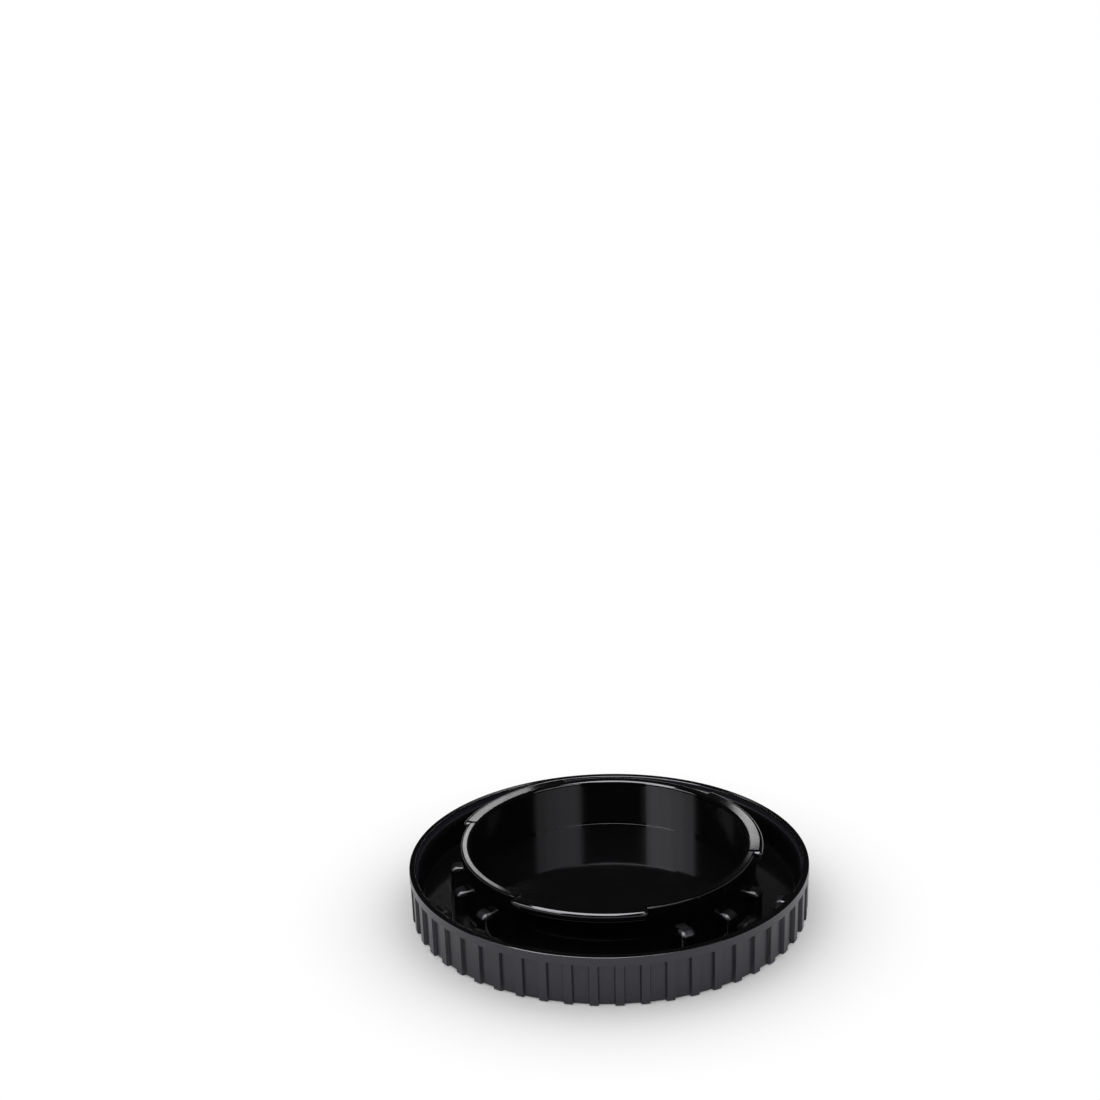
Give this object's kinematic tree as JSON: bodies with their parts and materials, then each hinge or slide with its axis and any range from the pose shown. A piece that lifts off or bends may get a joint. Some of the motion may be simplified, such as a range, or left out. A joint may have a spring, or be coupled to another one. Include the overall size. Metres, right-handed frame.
{
  "type": "camera body cap",
  "caption": "Round moulded cap for a camera's lens mount: a ribbed skirt, a ring channel with stiffening ribs and a bayonet collar with lugs.",
  "frame": {"origin": "centre of the plane that the front face rests on", "axes": "+Z along the cap's axis, from the front face towards the bayonet collar; +X to the right and +Y away, as the picture shows the cap"},
  "size_m": [0.059, 0.059, 0.0104],
  "materials": {
    "black_plastic": "gloss inside, satin outside"
  },
  "bodies": {
    "root": {"body_cap": "black_plastic"}
  },
  "joints": []
}
